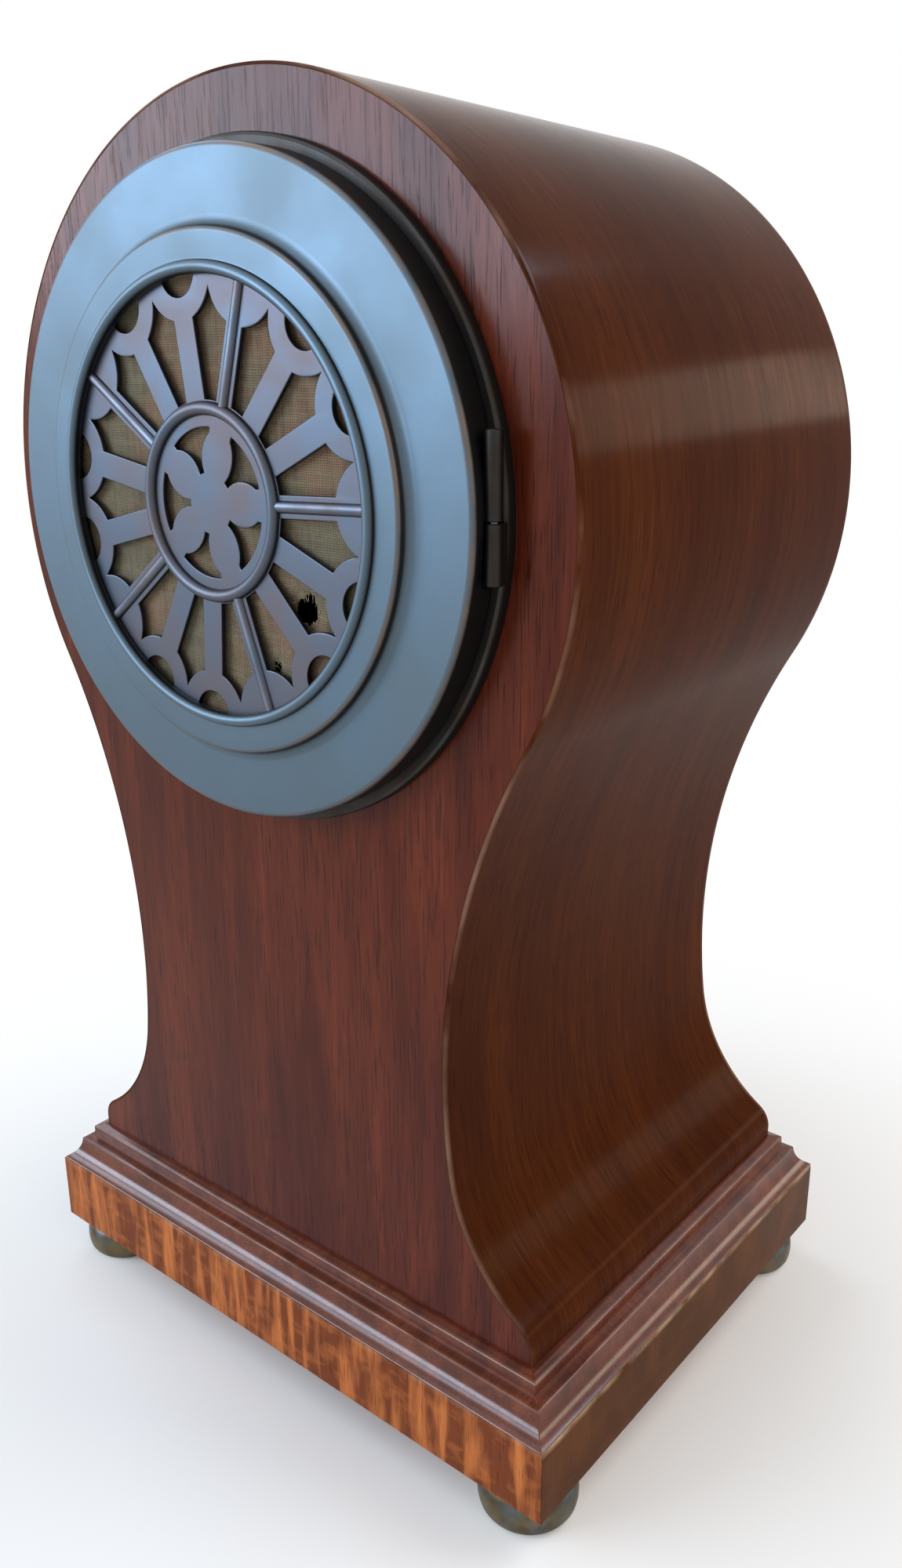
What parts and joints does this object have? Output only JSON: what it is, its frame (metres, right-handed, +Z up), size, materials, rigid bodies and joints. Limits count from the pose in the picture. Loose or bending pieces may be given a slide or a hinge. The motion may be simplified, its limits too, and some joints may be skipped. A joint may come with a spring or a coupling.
{
  "type": "balloon mantel clock",
  "caption": "Balloon-shaped mahogany mantel clock on a moulded plinth with bun feet, a pierced hinged back door, a glazed front bezel and a striking pendulum movement.",
  "frame": {"origin": "centre of the plinth's footprint on the surface that the feet stand on", "axes": "+Z up, the dial faces -Y, the back door faces +Y"},
  "size_m": [0.196, 0.162, 0.3467],
  "materials": {
    "mahogany": "French-polished veneer",
    "pine": "bare softwood",
    "bronze": "patinated bronze",
    "brass": "lacquered brass",
    "steel": "polished steel",
    "blued_steel": "heat-blued steel",
    "enamel": "glossy white enamel",
    "linen": "plain woven linen",
    "glass": "clear domed glass"
  },
  "bodies": {
    "case": {"back_panel": "mahogany", "front_panel": "mahogany", "case_wrap": "mahogany", "plinth_moulding": "mahogany", "plinth_block": "mahogany", "base_board": "pine", "back_ring": "bronze", "gong_post": "bronze", "foot_front_left": "brass", "foot_front_right": "brass", "foot_back_left": "brass", "foot_back_right": "brass", "bezel_ring": "brass", "front_plate": "brass", "back_plate": "brass", "pillar_upper_left": "brass", "pillar_upper_right": "brass", "pillar_lower_left": "brass", "pillar_lower_right": "brass", "back_cock": "brass", "strap_left": "brass", "strap_right": "brass", "door_hinge_pin": "steel", "bezel_hinge_pin": "steel", "gong": "steel", "strap_screw_left": "steel", "strap_screw_right": "steel", "dial_plate": "enamel"},
    "back_door": {"door_frame": "bronze", "door_fret": "bronze", "door_cloth": "linen", "cloth_retainer": "brass"},
    "bezel": {"bezel": "brass", "glass": "glass", "sight_ring": "brass"},
    "minute": {"centre_wheel": "brass", "cannon_pinion": "steel", "minute_hand": "blued_steel", "hand_nut": "brass"},
    "hour": {"hour_wheel": "brass", "hour_hand": "blued_steel"},
    "minute_wheel": {"minute_wheel": "brass"},
    "second_wheel": {"second_wheel": "brass"},
    "going_barrel": {"going_barrel": "brass"},
    "going_winding": {"going_winding_arbor": "steel"},
    "third_wheel": {"third_wheel": "brass"},
    "escape_wheel": {"escape_wheel": "brass"},
    "pallets": {"pallets": "steel"},
    "pendulum": {"pendulum_spring": "steel", "pendulum_rod": "steel", "pendulum_bob": "brass"},
    "rating_nut": {"rating_nut": "brass"},
    "strike_barrel": {"strike_barrel": "brass"},
    "strike_winding": {"strike_winding_arbor": "steel"},
    "strike_second_wheel": {"strike_second_wheel": "brass"},
    "pin_wheel": {"pin_wheel": "brass"},
    "hammer": {"hammer": "steel"}
  },
  "joints": [
    {"name": "back_door_hinge", "type": "hinge", "parent": "case", "child": "back_door", "pos_m": [-0.0776, 0.0707, 0.257], "axis": [0, 0, 1], "range_deg": [0, 105]},
    {"name": "bezel_hinge", "type": "hinge", "parent": "case", "child": "bezel", "pos_m": [0.0762, -0.0697, 0.254], "axis": [0, 0, 1], "range_deg": [0, 110]},
    {"name": "minute_turn", "type": "hinge", "parent": "case", "child": "minute", "pos_m": [0, -0.03, 0.254], "axis": [0, 1, 0], "continuous": true},
    {"name": "hour_turn", "type": "hinge", "parent": "case", "child": "hour", "pos_m": [0, -0.062, 0.254], "axis": [0, 1, 0], "continuous": true},
    {"name": "minute_wheel_turn", "type": "hinge", "parent": "case", "child": "minute_wheel", "pos_m": [0, -0.058, 0.244], "axis": [0, 1, 0], "continuous": true},
    {"name": "second_wheel_turn", "type": "hinge", "parent": "case", "child": "second_wheel", "pos_m": [0.01665, -0.036, 0.25939], "axis": [0, 1, 0], "continuous": true},
    {"name": "going_barrel_turn", "type": "hinge", "parent": "case", "child": "going_barrel", "pos_m": [0.0195, -0.044, 0.24], "axis": [0, 1, 0], "continuous": true},
    {"name": "going_winding_turn", "type": "hinge", "parent": "case", "child": "going_winding", "pos_m": [0.0195, -0.04, 0.24], "axis": [0, 1, 0], "range_deg": [0, 1980]},
    {"name": "third_wheel_turn", "type": "hinge", "parent": "case", "child": "third_wheel", "pos_m": [-0.0096, -0.036, 0.26629], "axis": [0, 1, 0], "continuous": true},
    {"name": "escape_wheel_turn", "type": "hinge", "parent": "case", "child": "escape_wheel", "pos_m": [0, -0.036, 0.2762], "axis": [0, 1, 0], "continuous": true},
    {"name": "pendulum_swing", "type": "hinge", "parent": "case", "child": "pendulum", "pos_m": [0, -0.00675, 0.28931], "axis": [0, 1, 0], "range_deg": [-2.5, 2.5]},
    {"name": "pallets_swing", "type": "hinge", "parent": "case", "child": "pallets", "pos_m": [0, -0.03, 0.28931], "axis": [0, 1, 0], "range_deg": [-2.5, 2.5]},
    {"name": "rating_nut_turn", "type": "hinge", "parent": "pendulum", "child": "rating_nut", "pos_m": [0, -0.00675, 0.1305], "axis": [0, 0, 1], "continuous": true},
    {"name": "strike_barrel_turn", "type": "hinge", "parent": "case", "child": "strike_barrel", "pos_m": [-0.0195, -0.044, 0.24], "axis": [0, 1, 0], "continuous": true},
    {"name": "strike_winding_turn", "type": "hinge", "parent": "case", "child": "strike_winding", "pos_m": [-0.0195, -0.04, 0.24], "axis": [0, 1, 0], "range_deg": [0, 1980]},
    {"name": "strike_second_wheel_turn", "type": "hinge", "parent": "case", "child": "strike_second_wheel", "pos_m": [-0.0002, -0.036, 0.2366], "axis": [0, 1, 0], "continuous": true},
    {"name": "pin_wheel_turn", "type": "hinge", "parent": "case", "child": "pin_wheel", "pos_m": [-0.0002, -0.036, 0.2219], "axis": [0, 1, 0], "continuous": true},
    {"name": "hammer_lift", "type": "hinge", "parent": "case", "child": "hammer", "pos_m": [-0.012, -0.02, 0.217], "axis": [0, 1, 0], "range_deg": [0, 15]}
  ],
  "couplings": [
    {"joint": "hour_turn", "follows": "minute_turn", "ratio": 0.083333},
    {"joint": "minute_wheel_turn", "follows": "minute_turn", "ratio": -0.33333},
    {"joint": "second_wheel_turn", "follows": "minute_turn", "ratio": -0.16667},
    {"joint": "going_barrel_turn", "follows": "minute_turn", "ratio": 0.027778},
    {"joint": "third_wheel_turn", "follows": "minute_turn", "ratio": -12},
    {"joint": "escape_wheel_turn", "follows": "minute_turn", "ratio": 126},
    {"joint": "pallets_swing", "follows": "pendulum_swing", "ratio": 1},
    {"joint": "strike_second_wheel_turn", "follows": "pin_wheel_turn", "ratio": -0.16667},
    {"joint": "strike_barrel_turn", "follows": "pin_wheel_turn", "ratio": 0.027778}
  ]
}
